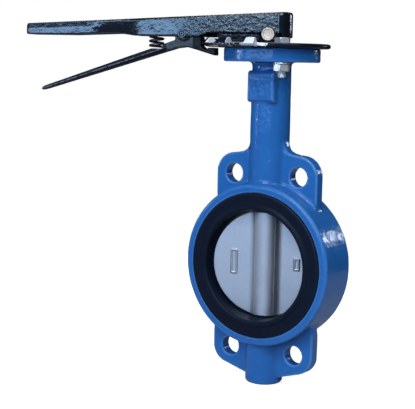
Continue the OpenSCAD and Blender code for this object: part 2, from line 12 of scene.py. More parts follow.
import bmesh
import bpy
import numpy as np
from mathutils import Matrix, Vector, noise


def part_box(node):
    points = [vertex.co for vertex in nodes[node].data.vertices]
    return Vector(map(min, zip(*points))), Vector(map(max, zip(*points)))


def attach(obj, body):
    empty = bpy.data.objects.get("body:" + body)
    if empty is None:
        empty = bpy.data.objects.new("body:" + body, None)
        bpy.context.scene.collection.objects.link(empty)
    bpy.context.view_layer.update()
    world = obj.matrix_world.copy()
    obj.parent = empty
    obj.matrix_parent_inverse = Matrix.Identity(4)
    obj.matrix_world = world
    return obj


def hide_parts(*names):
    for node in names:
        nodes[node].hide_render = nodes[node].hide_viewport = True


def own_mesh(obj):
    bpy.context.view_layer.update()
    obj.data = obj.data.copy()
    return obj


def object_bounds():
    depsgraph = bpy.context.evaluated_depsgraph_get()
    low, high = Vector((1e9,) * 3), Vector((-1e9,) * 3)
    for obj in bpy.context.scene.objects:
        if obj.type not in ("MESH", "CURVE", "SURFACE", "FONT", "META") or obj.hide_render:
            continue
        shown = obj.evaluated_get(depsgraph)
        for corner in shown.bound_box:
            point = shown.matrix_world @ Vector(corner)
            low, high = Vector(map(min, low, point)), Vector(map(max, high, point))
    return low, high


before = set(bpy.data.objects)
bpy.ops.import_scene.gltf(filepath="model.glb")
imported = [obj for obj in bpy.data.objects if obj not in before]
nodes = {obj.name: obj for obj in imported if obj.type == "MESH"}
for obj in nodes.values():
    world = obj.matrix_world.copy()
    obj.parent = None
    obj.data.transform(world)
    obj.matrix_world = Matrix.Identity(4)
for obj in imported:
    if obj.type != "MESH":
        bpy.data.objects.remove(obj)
cad_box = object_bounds()
MM = 0.001
M8_RADIUS, M8_PITCH = 4.0, 1.25

# The lever's own directions at rest, 18 degrees open: along it, and toward its near side
TURN = math.radians(18)
ALONG = Vector((-math.cos(TURN), -math.sin(TURN), 0))
NEAR = Vector((math.sin(TURN), -math.cos(TURN), 0))
UP = Vector((0, 0, 1))


# ---------------------------------------------------------------- camera, floor, light

def make_camera():
    """Long lens camera, front right of the valve and a little above its middle."""
    azimuth, elevation, roll = (math.radians(a) for a in (33.419, 6.807, 1.186))
    distance, shift_right, shift_up, aim_height = 1.110, -0.05688, -0.004884, 0.060
    back = Vector((math.sin(azimuth) * math.cos(elevation),
                   -math.cos(azimuth) * math.cos(elevation), math.sin(elevation)))
    right = Vector((math.cos(azimuth), math.sin(azimuth), 0))
    up = back.cross(right)
    right, up = (right * math.cos(roll) + up * math.sin(roll),
                 up * math.cos(roll) - right * math.sin(roll))
    place = back * distance + right * shift_right + up * shift_up + UP * aim_height
    facing = Matrix((right, up, back)).transposed().to_4x4()
    data = bpy.data.cameras.new("camera")
    data.lens, data.sensor_width = 102.97, 36
    camera = bpy.data.objects.new("camera", data)
    camera.matrix_world = Matrix.Translation(place) @ facing
    bpy.context.scene.collection.objects.link(camera)
    bpy.context.scene.camera = camera


def make_world():
    """White to the camera, and for light and reflections a dim room, darker behind the valve."""
    front_strength, back_strength, blend = 0.11, 0.015, 0.3
    world = bpy.data.worlds.new("studio")
    bpy.context.scene.world = world
    world.use_nodes = True
    tree = world.node_tree
    room = tree.nodes["Background"]
    room.inputs["Color"].default_value = (0.82, 0.9, 1.0, 1)
    way = tree.nodes.new("ShaderNodeTexCoord")
    parts = tree.nodes.new("ShaderNodeSeparateXYZ")
    fade = tree.nodes.new("ShaderNodeMapRange")
    for socket, number in zip(fade.inputs[1:5], (-blend, blend, front_strength, back_strength)):
        socket.default_value = number
    tree.links.new(way.outputs["Generated"], parts.inputs[0])
    tree.links.new(parts.outputs["Y"], fade.inputs[0])
    tree.links.new(fade.outputs[0], room.inputs["Strength"])
    paper = tree.nodes.new("ShaderNodeBackground")
    paper.inputs["Color"].default_value = (1, 1, 1, 1)
    seen = tree.nodes.new("ShaderNodeLightPath")
    mix = tree.nodes.new("ShaderNodeMixShader")
    tree.links.new(seen.outputs["Is Camera Ray"], mix.inputs[0])
    tree.links.new(room.outputs[0], mix.inputs[1])
    tree.links.new(paper.outputs[0], mix.inputs[2])
    tree.links.new(mix.outputs[0], tree.nodes["World Output"].inputs["Surface"])


def soft_light(name, place, aim, size, radiance, colour):
    """Rectangular softbox. radiance is the brightness of its face, with white paper at 1."""
    data = bpy.data.lights.new(name, "AREA")
    data.shape = "RECTANGLE"
    data.size, data.size_y = size
    data.energy = radiance * math.pi * size[0] * size[1]
    data.color = colour
    light = bpy.data.objects.new(name, data)
    light.location = place
    light.rotation_euler = (Vector(aim) - Vector(place)).to_track_quat("-Z", "Y").to_euler()
    bpy.context.scene.collection.objects.link(light)


def make_lights():
    """Softboxes: each a name, place, aim, size, radiance and colour."""
    middle = (0, 0, 0.06)
    sky, cool, daylight = (0.46, 0.68, 1.0), (0.80, 0.90, 1.0), (0.86, 0.93, 1.0)
    # A low strip, just where the lever's wall mirrors it and the body does not
    soft_light("front_strip", (0.0, -1.5, 0.355), (0, 0, 0.2), (2.0, 0.31), 7.5, sky)
    # Broad light on the fronts, with fills
    soft_light("high_box", (0.15, -1.3, 1.25), middle, (1.1, 0.9), 5.4, daylight)
    soft_light("fill_box", (0.35, -1.45, 0.72), middle, (0.8, 0.3), 5.0, cool)
    soft_light("right_box", (1.2, -0.35, 1.0), middle, (0.8, 0.8), 5.0, cool)
    # Small and bright: fine highlights on the fillets, and a glint on the top flange
    soft_light("bare_lamp", (0.13, -1.15, 1.12), middle, (0.10, 0.10), 120.0, daylight)
    soft_light("left_glint", (-1.13, -0.82, 0.18), (0, 0, 0.19), (0.24, 0.05), 50.0,
               (0.75, 0.9, 1.0))
    # Light from behind and above, and a glint on the ring's right shoulder
    soft_light("back_box", (-0.7, 1.1, 1.6), middle, (0.6, 0.6), 8.0, (0.90, 0.95, 1.0))
    soft_light("top_box", (0.1, -0.1, 1.5), middle, (0.9, 0.9), 2.2, (1, 1, 1))
    soft_light("rim_box", (0.574, 1.232, 0.34), (0.07, 0, 0.03), (0.13, 0.14), 22.0,
               (0.82, 0.92, 1.0))


def make_floor(floor_paint):
    """Round sheet of pale paper that reaches a little beyond the valve's shadow."""
    radius, sides, gap = 0.75, 128, 0.0002
    level = cad_box[0][2] - gap
    corners = [(radius * math.cos(a), radius * math.sin(a), level) for a in around(sides)]
    mesh = bpy.data.meshes.new("floor")
    mesh.from_pydata(corners, [], [tuple(range(sides))])
    floor = bpy.data.objects.new("floor", mesh)
    bpy.context.scene.collection.objects.link(floor)
    mesh.materials.append(floor_paint)


# ---------------------------------------------------------------- materials

class Finish:
    """A Principled material whose colour, roughness and bump come from procedural nodes."""

    def __init__(self, name, **fixed):
        self.material = bpy.data.materials.new(name)
        self.material.use_nodes = True
        self.tree = self.material.node_tree
        self.shader = self.tree.nodes["Principled BSDF"]
        self.place = self.add("ShaderNodeTexCoord").outputs["Object"]
        for socket, value in fixed.items():
            self.shader.inputs[socket.replace("_", " ")].default_value = value

    def add(self, kind, **settings):
        """A new node with these settings."""
        node = self.tree.nodes.new(kind)
        for key, value in settings.items():
            setattr(node, key, value)
        return node

    def feed(self, socket, value):
        """Links an output to a socket, or sets the socket to a number or a colour."""
        if isinstance(value, bpy.types.NodeSocket):
            self.tree.links.new(value, socket)
        elif isinstance(value, tuple):
            socket.default_value = (*value, 1) if len(value) == 3 else value
        else:
            socket.default_value = value

    def noise(self, size_mm, detail=3, stretch=(1, 1, 1)):
        """Noise whose lumps are about size_mm across, from 0 to 1."""
        scaled = self.add("ShaderNodeVectorMath", operation="MULTIPLY")
        self.feed(scaled.inputs[0], self.place)
        scaled.inputs[1].default_value = tuple(1 / (s * size_mm * MM) for s in stretch)
        texture = self.add("ShaderNodeTexNoise")
        texture.inputs["Scale"].default_value = 1
        texture.inputs["Detail"].default_value = detail
        self.feed(texture.inputs["Vector"], scaled.outputs[0])
        return texture.outputs["Fac"]

    def mark(self, name):
        """A measure stored on the mesh, such as edge or nook."""
        return self.add("ShaderNodeAttribute", attribute_name=name).outputs["Fac"]

    def spread(self, value, low, high, to_low=0.0, to_high=1.0):
        """value from low..high to to_low..to_high, clamped and eased."""
        node = self.add("ShaderNodeMapRange", interpolation_type="SMOOTHSTEP")
        for socket, number in zip(node.inputs, (value, low, high, to_low, to_high)):
            self.feed(socket, number)
        return node.outputs[0]

    def math(self, operation, a, b):
        """Two numbers joined by a Math node."""
        node = self.add("ShaderNodeMath", operation=operation)
        self.feed(node.inputs[0], a)
        self.feed(node.inputs[1], b)
        return node.outputs[0]

    def mix(self, factor, a, b):
        """Colour a where the factor is 0, b where it is 1."""
        node = self.add("ShaderNodeMix", data_type="RGBA")
        self.feed(node.inputs[0], factor)
        self.feed(node.inputs[6], a)
        self.feed(node.inputs[7], b)
        return node.outputs[2]

    def bump(self, *layers):
        """Stacks bumps, each a height from 0 to 1 and the depth in mm that it stands for."""
        normal = None
        for height, depth_mm in layers:
            node = self.add("ShaderNodeBump")
            node.inputs["Distance"].default_value = depth_mm * MM
            self.feed(node.inputs["Height"], height)
            if normal is not None:
                self.feed(node.inputs["Normal"], normal)
            normal = node.outputs[0]
        self.feed(self.shader.inputs["Normal"], normal)

    def set(self, **sockets):
        """Feeds the shader's sockets and gives the material back."""
        for socket, value in sockets.items():
            self.feed(self.shader.inputs[socket.replace("_", " ")], value)
        return self.material


def blue_enamel():
    """Gloss blue over a cast surface, with an orange peel that breaks up the highlights."""
    f = Finish("body_enamel", Specular_IOR_Level=0.24)
    tone = f.mix(f.noise(28), (0.012, 0.088, 0.272), (0.019, 0.110, 0.328))
    # Painted highlight: lighter blue on the edges that stand out, where the edge mark is high
    tone = f.mix(f.spread(f.mark("edge"), 0.15, 0.9, 0, 0.4), tone, (0.09, 0.23, 0.50))
    # Painted shade: darker blue in the hollows, creases and fillets, where the nook mark is high
    tone = f.mix(f.spread(f.mark("nook"), 0.15, 1.0, 0, 0.6), tone, (0.010, 0.046, 0.16))
    f.bump((f.noise(11, 2), 0.36), (f.noise(3.4, 2), 0.22), (f.noise(1.1, 2), 0.018))
    return f.set(Base_Color=tone, Roughness=f.spread(f.noise(6), 0.3, 0.7, 0.13, 0.21))


def seat_rubber():
    """Moulded black rubber, slightly greyer on its edges."""
    f = Finish("seat_rubber", Specular_IOR_Level=0.06)
    tone = f.mix(f.noise(14), (0.0028, 0.0052, 0.0120), (0.0046, 0.0080, 0.0180))
    tone = f.mix(f.spread(f.mark("edge"), 0.2, 1.0, 0, 0.5), tone, (0.010, 0.015, 0.027))
    f.bump((f.noise(10, 2), 0.12), (f.noise(0.5, 2), 0.012))
    return f.set(Base_Color=tone, Roughness=f.spread(f.noise(5), 0.3, 0.7, 0.30, 0.42))


def disc_steel():
    """Blasted stainless casting with fine specks, and painted shade darkening the corners of its
    marks and its other hollows.
    """
    f = Finish("disc_steel", Metallic=1.0)
    tone = f.mix(f.noise(18), (0.36, 0.38, 0.435), (0.43, 0.455, 0.51))
    tone = f.mix(f.spread(f.noise(1.1, 2), 0.55, 0.75, 0, 0.18), tone, (0.22, 0.25, 0.30))
    # Painted shade: darker in the hollows, such as beside the hub and round the marks
    tone = f.mix(f.spread(f.mark("nook"), 0.1, 0.7, 0, 0.8), tone, (0.05, 0.06, 0.10))
    f.bump((f.noise(5, 2), 0.06), (f.noise(0.55, 3), 0.014))
    return f.set(Base_Color=tone, Roughness=f.spread(f.noise(3), 0.3, 0.7, 0.46, 0.56))


def lever_paint():
    """Black enamel over a coarse sand casting: lumpy by the hub, calmer on the grip."""
    f = Finish("lever_paint", Specular_IOR_Level=0.85)
    f.shader.inputs["Specular Tint"].default_value = (0.72, 0.88, 1.0, 1)
    tone = f.mix(f.noise(9), (0.0022, 0.0032, 0.0065), (0.0050, 0.0070, 0.0125))
    tone = f.mix(f.spread(f.mark("edge"), 0.5, 1.0, 0, 0.25), tone, (0.06, 0.08, 0.11))
    grain = f.math("MULTIPLY", f.noise(2.3, 3), f.mark("coarse"))
    f.bump((grain, 1.1), (f.noise(3.2, 2), 0.12), (f.noise(0.9, 2), 0.015))
    return f.set(Base_Color=tone, Roughness=f.spread(f.noise(2.5), 0.3, 0.7, 0.11, 0.18))


def trigger_paint(name, gloss):
    """Black enamel, with a painted highlight: a lighter line along the crest of the trigger's
    tail.
    """
    f = Finish(name, Specular_IOR_Level=gloss)
    tone = f.mix(f.noise(7), (0.0020, 0.0024, 0.0050), (0.0045, 0.0052, 0.0095))
    tone = f.mix(f.spread(f.mark("edge"), 0.3, 1.0, 0, 0.3), tone, (0.09, 0.10, 0.13))
    # Painted highlight: a broken lighter line along the ridge, where the crest mark is high
    painted_crest_highlight = f.math("MULTIPLY", f.mark("crest"), f.spread(f.noise(3), 0.35, 0.62, 0.12, 0.9))
    tone = f.mix(painted_crest_highlight, tone, (0.17, 0.18, 0.22))
    f.bump((f.noise(4, 2), 0.10), (f.noise(0.6, 2), 0.012))
    return f.set(Base_Color=tone, Roughness=f.spread(f.noise(3), 0.3, 0.7, 0.22, 0.34))


def zinc_steel(name, dark, light, polish):
    """Zinc plated steel with dull specks. polish takes off the roughness."""
    f = Finish(name, Metallic=1.0)
    tone = f.mix(f.noise(4), dark, light)
    tone = f.mix(f.spread(f.noise(1.2, 4), 0.56, 0.72, 0, 0.5), tone, (0.22, 0.22, 0.22))
    # Painted shade: darker in the hollows, where the nook mark is high
    tone = f.mix(f.spread(f.mark("nook"), 0.2, 1.0, 0, 0.6), tone, (0.10, 0.10, 0.11))
    f.bump((f.noise(1.6, 2), 0.04), (f.noise(0.3, 2, (1, 1, 5)), 0.004))
    rough = f.spread(f.noise(1.5), 0.3, 0.7, 0.42 - polish, 0.56 - polish)
    return f.set(Base_Color=tone, Roughness=rough)


def plate_paint():
    """Gloss black plate, with bare steel where the mesh is marked bare."""
    f = Finish("plate_paint", Specular_IOR_Level=0.10)
    ragged = f.math("MULTIPLY", f.math("SUBTRACT", f.noise(2.0, 4), 0.5), 1.3)
    bare = f.spread(f.math("ADD", f.mark("bare"), ragged), 0.45, 0.60)
    paint = f.mix(f.noise(8), (0.003, 0.004, 0.009), (0.006, 0.008, 0.016))
    paint = f.mix(f.spread(f.mark("edge"), 0.4, 1.0, 0, 0.3), paint, (0.12, 0.13, 0.16))
    steel = f.mix(f.noise(1.8, 4), (0.50, 0.51, 0.56), (0.74, 0.75, 0.80))
    rough = f.mix(bare, (0.22, 0.22, 0.22), (0.42, 0.42, 0.42))
    f.bump((f.noise(6, 2), 0.08), (f.noise(0.9, 3), 0.02))
    return f.set(Base_Color=f.mix(bare, paint, steel), Metallic=f.math("MULTIPLY", bare, 0.4),
                 Roughness=rough)


def spring_steel():
    """Oiled black spring wire."""
    f = Finish("spring_steel", Coat_Weight=0.4, Coat_Roughness=0.15)
    tone = f.mix(f.noise(2), (0.006, 0.007, 0.011), (0.018, 0.020, 0.028))
    f.bump((f.noise(0.5, 2), 0.01), (f.noise(2.0, 2), 0.02))
    return f.set(Base_Color=tone, Roughness=f.spread(f.noise(1.5), 0.3, 0.7, 0.26, 0.42))


def turned_metal(name, dark, light):
    """Lathe turned metal, with fine rings about the stem axis."""
    f = Finish(name, Metallic=1.0)
    tone = f.mix(f.noise(5), dark, light)
    f.bump((f.noise(0.4, 2, (20, 20, 1)), 0.006), (f.noise(3, 2), 0.02))
    return f.set(Base_Color=tone, Roughness=f.spread(f.noise(2), 0.3, 0.7, 0.24, 0.38))


def ring_rubber():
    """Plain black rubber of the O-rings."""
    f = Finish("o_ring_rubber")
    f.bump((f.noise(0.4, 2), 0.01), (f.noise(3, 2), 0.03))
    return f.set(Base_Color=f.mix(f.noise(3), (0.006, 0.006, 0.007), (0.012, 0.012, 0.013)),
                 Roughness=f.spread(f.noise(2), 0.3, 0.7, 0.42, 0.55))


def floor_paper():
    """White paper, lit from below just enough for it to meet the white beyond it."""
    f = Finish("floor_paper", Specular_IOR_Level=0.0)
    away = f.add("ShaderNodeVectorMath", operation="LENGTH")
    f.feed(away.inputs[0], f.place)
    glow = f.spread(away.outputs["Value"], 0.05, 0.72, 0.84, 1.0)
    seen = f.add("ShaderNodeLightPath").outputs["Is Camera Ray"]
    f.shader.inputs["Emission Color"].default_value = (1, 1, 1, 1)
    f.bump((f.noise(3, 3), 0.02), (f.noise(40, 2), 0.05))
    return f.set(Base_Color=f.mix(f.noise(60), (0.37, 0.37, 0.38), (0.40, 0.40, 0.41)),
                 Emission_Strength=f.math("MULTIPLY", glow, seen),
                 Roughness=f.spread(f.noise(20), 0.3, 0.7, 0.6, 0.7))


# ---------------------------------------------------------------- mesh tools

def around(sides):
    """The angles of a circle's points."""
    return [2 * math.pi * k / sides for k in range(sides)]


def points(mesh):
    """The mesh's points as rows of x, y, z."""
    co = np.empty(len(mesh.vertices) * 3, np.float32)
    mesh.vertices.foreach_get("co", co)
    return co.reshape(-1, 3).astype(float)


def set_points(mesh, co):
    """Moves the mesh's points to these rows."""
    mesh.vertices.foreach_set("co", co.astype(np.float32).ravel())
    mesh.update()


def normals(mesh):
    """The outward direction at each point."""
    out = np.empty(len(mesh.vertices) * 3, np.float32)
    mesh.vertex_normals.foreach_get("vector", out)
    return out.reshape(-1, 3).astype(float)


def relax(mesh, co, rounds, weight=1.0, keep_size=False):
    """Moves each point toward the middle of its neighbours. keep_size undoes the shrinking."""
    pairs = np.empty(len(mesh.edges) * 2, np.int32)
    mesh.edges.foreach_get("vertices", pairs)
    a, b = pairs.reshape(-1, 2).T
    ends, others = np.concatenate((a, b)), np.concatenate((b, a))
    count = np.bincount(ends, minlength=len(co)).clip(1)[:, None]
    weight = np.broadcast_to(np.asarray(weight, float), len(co))[:, None]
    steps = (0.5, -0.52) if keep_size else (0.5,)
    for _ in range(rounds):
        for step in steps:
            middle = np.stack([np.bincount(ends, co[others, k], len(co)) for k in range(3)], 1)
            co = co + step * weight * (middle / count - co)
    return co


def ease(low, high, value):
    """0 below low, 1 above high, smooth between."""
    t = np.clip((value - low) / (high - low), 0, 1)
    return t * t * (3 - 2 * t)


def near(value, centre, full, none):
    """1 within full of the centre, 0 further than none from it, smooth between."""
    return 1 - ease(full, none, np.abs(value - centre))


def lumps(co, size_mm, seed):
    """Smooth noise from -1 to 1 at each point."""
    shift = Vector((seed * 3.1, seed * 7.7, seed * 1.3))
    return np.array([noise.noise(Vector(p) + shift) for p in co / (size_mm * MM)])


def valve_coords(co):
    """x, y, z in mm."""
    return (co / MM).T


def lever_coords(co):
    """Distance along the lever, offset toward its near side, and height, in mm."""
    return co @ np.array(ALONG) / MM, co @ np.array(NEAR) / MM, co[:, 2] / MM


def from_lever_coords(s, t, z):
    """The points, in metres, that have these lever coordinates."""
    co = np.outer(s * MM, np.array(ALONG)) + np.outer(t * MM, np.array(NEAR))
    return co + np.outer(z * MM, np.array(UP))


def kept_inside(node, co):
    """The points, none of them outside the CAD node's own box."""
    low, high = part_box(node)
    return np.clip(co, np.array(low), np.array(high))


def roughen(mesh, node, co, wave):
    """Sets the points, each moved out by the wave in mm, inside the CAD node's own box."""
    set_points(mesh, co)
    set_points(mesh, kept_inside(node, co + normals(mesh) * (wave * MM)[:, None]))


def store(mesh, name, value):
    """Stores a measure from 0 to 1 at each point, for the material to read."""
    attribute = mesh.attributes.new(name, "FLOAT", "POINT")
    attribute.data.foreach_set("value", np.clip(value, 0, 1).astype(np.float32))


def measure_edges(mesh, rounds=8, depth_mm=0.35):
    """Stores on the mesh how far each point stands out of, or sinks into, its surroundings."""
    co = points(mesh)
    out = ((co - relax(mesh, co, rounds)) * normals(mesh)).sum(1) / (depth_mm * MM)
    store(mesh, "edge", out)
    store(mesh, "nook", -out)


def as_object(name, mesh):
    """A new piece of the valve with this mesh."""
    piece = bpy.data.objects.new(name, mesh)
    bpy.context.scene.collection.objects.link(piece)
    return piece


def skin(node, name, voxel_mm, extras=()):
    """The CAD node's shape, with any extra solids, as one even skin of small squares."""
    build = bmesh.new()
    build.from_mesh(nodes[node].data)
    bmesh.ops.remove_doubles(build, verts=build.verts, dist=1e-6)
    for extra in extras:
        build.from_mesh(extra)
    rough = bpy.data.meshes.new(name)
    build.to_mesh(rough)
    build.free()
    piece = as_object(name, rough)
    remesh = piece.modifiers.new("even_skin", "REMESH")
    remesh.mode = "VOXEL"
    remesh.voxel_size = voxel_mm * MM
    piece.data = bpy.data.meshes.new_from_object(
        piece.evaluated_get(bpy.context.evaluated_depsgraph_get()))
    piece.modifiers.clear()
    piece.data.polygons.foreach_set("use_smooth", [True] * len(piece.data.polygons))
    return piece


def finish_piece(piece, material, body, slot, *replaced):
    """Gives a piece its material and the body it rides on, and hides the nodes it stands for.
    slot is not used.
    """
    piece.data.materials.clear()
    piece.data.materials.append(material)
    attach(piece, body)
    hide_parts(*replaced)


def refinish(piece, material, chosen):
    """Gives a second material to the faces whose corners are all among the chosen points."""
    mesh = piece.data
    mesh.materials.append(material)
    for face in mesh.polygons:
        face.material_index = int(all(chosen[v] for v in face.vertices))


def block(low, high):
    """Box between two corners, given in the lever's s, t and z."""
    build = bmesh.new()
    bmesh.ops.create_cube(build, size=1)
    axes = Matrix((ALONG, NEAR, UP)).transposed()
    for v in build.verts:
        local = Vector(((low[k] + high[k]) / 2 + v.co[k] * (high[k] - low[k]) for k in range(3)))
        v.co = axes @ local * MM
    bmesh.ops.recalc_face_normals(build, faces=build.faces)
    mesh = bpy.data.meshes.new("block")
    build.to_mesh(mesh)
    build.free()
    return mesh


def grid_mesh(name, rings, closed_ends=True):
    """Skin over rings of points in mm, each ring closed, with one flat face at both ends."""
    count, sides = len(rings), len(rings[0])
    verts = [p for ring in rings for p in ring]
    faces = [(i * sides + k, i * sides + (k + 1) % sides,
              (i + 1) * sides + (k + 1) % sides, (i + 1) * sides + k)
             for i in range(count - 1) for k in range(sides)]
    if closed_ends:
        last = (count - 1) * sides
        faces += [tuple(reversed(range(sides))), tuple(range(last, last + sides))]
    mesh = bpy.data.meshes.new(name)
    mesh.from_pydata([tuple(c * MM for c in p) for p in verts], [], faces)
    mesh.polygons.foreach_set("use_smooth", [True] * len(mesh.polygons))
    mesh.set_sharp_from_angle(angle=math.radians(20))
    return mesh


def lathe(name, profile, sides=64):
    """Turned piece about its own Z. profile is a list of (radius, height) from end to end."""
    tip = 0.01
    rings = [[(max(r, tip) * math.cos(a), max(r, tip) * math.sin(a), h) for a in around(sides)]
             for r, h in profile]
    return grid_mesh(name, rings)


def thread_rings(radius, low, high, pitch, sides=48, depth=0.55, steps=8):
    """Rings of a threaded shank: the groove winds round as it climbs, and fades at both ends."""
    count = max(2, round((high - low) / pitch * steps))
    rings = []
    for i in range(count + 1):
        h = low + (high - low) * i / count
        fade = min(1, i / steps, (count - i) / steps)
        ring = []
        for k, a in enumerate(around(sides)):
            phase = ((h / pitch) - k / sides) % 1
            r = radius - fade * depth * (1 - abs(2 * phase - 1))
            ring.append((r * math.cos(a), r * math.sin(a), h))
        rings.append(ring)
    return rings


def hexagon_rings(across, low, high, sides=96, chamfer_low=True):
    """Rings of a hexagon head or nut, its corners turned off at 30 degrees."""
    flat = across / 2
    circle = flat * 0.94
    angles = around(sides)
    corner = [flat / math.cos((a + math.pi / 6) % (math.pi / 3) - math.pi / 6) for a in angles]
    drop = [(r - circle) * math.tan(math.radians(30)) for r in corner]
    inner = [circle] * sides

    def ring(radii, heights):
        return [(r * math.cos(a), r * math.sin(a), h) for r, h, a in zip(radii, heights, angles)]

    if chamfer_low:
        rings = [ring(inner, [low] * sides), ring(corner, [low + d for d in drop])]
    else:
        rings = [ring(corner, [low] * sides)]
    return rings + [ring(corner, [high - d for d in drop]), ring(inner, [high] * sides)]


def placed(name, meshes, matrix):
    """One object from several meshes, moved to where the CAD has it."""
    build = bmesh.new()
    for mesh in meshes:
        build.from_mesh(mesh)
    build.transform(matrix)
    bmesh.ops.recalc_face_normals(build, faces=build.faces)
    out = bpy.data.meshes.new(name)
    build.to_mesh(out)
    build.free()
    return as_object(name, out)


# ---------------------------------------------------------------- castings

def make_body(paint):
    """Ring, ears and neck, with wide fillets where they meet and a slightly wavy surface."""
    hole_x, hole_z, hole_edge = 34.44, 83.15, 9.2
    ring_r, ring_half, neck_r, flange_low = 75.8, 23, 19.2, 186
    seat_r, stem_bore_r = 70, 13
    piece = skin("body", "body_casting", 0.9)
    mesh = piece.data
    co = relax(mesh, points(mesh), 5, keep_size=True)
    x, y, z = valve_coords(co)
    from_bore, from_stem = np.hypot(x, z), np.hypot(x, y)
    from_hole = np.hypot(np.abs(x) - hole_x, np.abs(z) - hole_z)
    # Each mask is 1 where a fillet is wanted and eases to 0 over the span of its two numbers:
    # where the ears meet the ring, where neck and boss meet it, and under the top flange
    on_ears = ease(44, 52, np.abs(z)) * (1 - ease(ring_half - 6, ring_half - 2, np.abs(y)))
    ring_join = near(from_bore, ring_r + 1, 1, 6) * on_ears
    neck_join = near(from_stem, neck_r + 0.5, 1, 5) * ease(62, 70, np.abs(z))
    neck_join *= (1 - ease(112, 120, z)) * (1 - ease(100, 106, -z))
    under_flange = near(z, flange_low, 1, 6) * (1 - ease(22, 26, from_stem))
    under_flange *= ease(neck_r - 3, neck_r - 1, from_stem)
    fillet = np.maximum(np.maximum(ring_join, neck_join), 0.5 * under_flange)
    fillet *= ease(hole_edge, 12, from_hole) * (from_stem > stem_bore_r) * (from_bore > seat_r)
    co = relax(mesh, co, 24, fillet)
    outside = (from_bore > seat_r - 1) & (from_stem > stem_bore_r)
    roughen(mesh, "body", co, (0.12 * lumps(co, 14, 1) + 0.07 * lumps(co, 5, 2) - 0.06) * outside)
    measure_edges(mesh)
    finish_piece(piece, paint, "valve_body", "body_enamel", "body")


def make_seat(rubber):
    """Rubber lining with rounded lips."""
    piece = skin("seat", "seat_liner", 0.8)
    mesh = piece.data
    set_points(mesh, relax(mesh, points(mesh), 6, keep_size=True))
    measure_edges(mesh)
    finish_piece(piece, rubber, "valve_body", "seat_rubber", "seat")


def raised_frame(s_low, s_high, z_low, z_high, face):
    """Blank cast mark: a low field inside a raised border, on the disc's front face."""
    bar, rooted, field_rise, bar_rise = 0.9, 1, 0.35, 1.0

    def slab(s0, s1, z0, z1, rise):
        return block((s0, face - rooted, z0), (s1, face + rise, z1))

    return [slab(s_low, s_high, z_low, z_high, field_rise),
            slab(s_low, s_low + bar, z_low, z_high, bar_rise),
            slab(s_high - bar, s_high, z_low, z_high, bar_rise),
            slab(s_low, s_high, z_low, z_low + bar, bar_rise),
            slab(s_low, s_high, z_high - bar, z_high, bar_rise)]


def make_disc(steel):
    """Disc with two small blank cast marks on its front face."""
    web_face = 4.5
    marks = raised_frame(27.5, 33.2, -10.8, 11.8, web_face)
    marks += raised_frame(-32.2, -27.0, -4.8, 6.4, web_face)
    piece = skin("disc", "disc_casting", 0.5, marks)
    mesh = piece.data
    co = relax(mesh, points(mesh), 2, keep_size=True)
    on_web = np.abs(lever_coords(co)[1]) < web_face + 1.5
    roughen(mesh, "disc", co, (0.04 * lumps(co, 9, 7) - 0.03) * on_web)
    measure_edges(mesh, 6, 0.22)
    finish_piece(piece, steel, "turning_group", "disc_steel", "disc")


def half_width(s, plan):
    """Half width of the lever at distances s, from a list of (distance, half width)."""
    return np.interp(s, [p[0] for p in plan], [p[1] for p in plan])


def make_lever(paint, dull):
    """Cast lever with a dull foot. Its wall leans in behind the pivot and is crowned on the grip.

    A lip stands on the far wall of the channel, behind the plate's teeth.
    """
    cad_plan = [(-20, 16), (62, 16), (130, 12.5), (241, 12.5)]
    plan = [(-20, 16), (62, 16), (120, 14.1), (134, 12.75), (144, 12.3), (160, 12.4), (241, 12.5)]
    top, top_slope = 232, math.tan(math.radians(2.85))
    foot_z, foot_s = 211.4, 66
    far_lip = block((46, -15.7, 209.4), (69, -9.2, 213))
    piece = skin("lever", "lever_casting", 0.75, [far_lip])
    mesh = piece.data
    s, t, z = lever_coords(relax(mesh, points(mesh), 3, keep_size=True))
    t *= half_width(s, plan) / half_width(s, cad_plan)
    # up runs from -1 at the wall's lower edge to 1 at its top
    low = np.interp(s, [62, 130, 146, 241], [212, 211.5, 211.4, 207.8])
    high = top - s * top_slope
    up = 2 * (z - low) / (high - low) - 1
    behind = ease(122, 138, s) * (1 - ease(160, 176, s))
    grip = ease(150, 176, s)
    lean = behind * (1.1 * (up - 1) - 0.1)
    crown = -grip * (0.85 * np.clip(up - 0.1, 0, 1) + np.clip(-0.8 - up, 0, 1))
    round_top = -1.3 * ease(0.72, 1.05, up) * (1 - grip)
    on_outer_wall = ease(8.2, 9.2, np.abs(t))
    t += np.sign(t) * on_outer_wall * (lean + crown + round_top)
    co = relax(mesh, from_lever_coords(s, t, z), 2, keep_size=True)
    set_points(mesh, co)
    # Lumps on the outside of the walls, coarse by the hub and calm on the grip
    side = np.abs(normals(mesh) @ np.array(NEAR))
    in_channel = (np.abs(t) < 11.6) & (s > 51) & (z < 228)
    past_hub_end = s > -8
    by_hub = (1 - ease(48, 100, s)) * (side * past_hub_end * ~in_channel)
    calm = ease(132, 150, s)
    wave = 0.55 * by_hub * lumps(co, 2.4, 3) + (0.12 - 0.06 * calm) * lumps(co, 6, 4) - 0.12
    roughen(mesh, "lever", co, wave * (0.35 + 0.65 * side) * ~in_channel)
    measure_edges(mesh, 8, 0.45)
    store(mesh, "coarse", by_hub + 0.10 * side * past_hub_end)
    finish_piece(piece, paint, "turning_group", "lever_paint", "lever")
    refinish(piece, dull, (z < foot_z) & (s < foot_s))


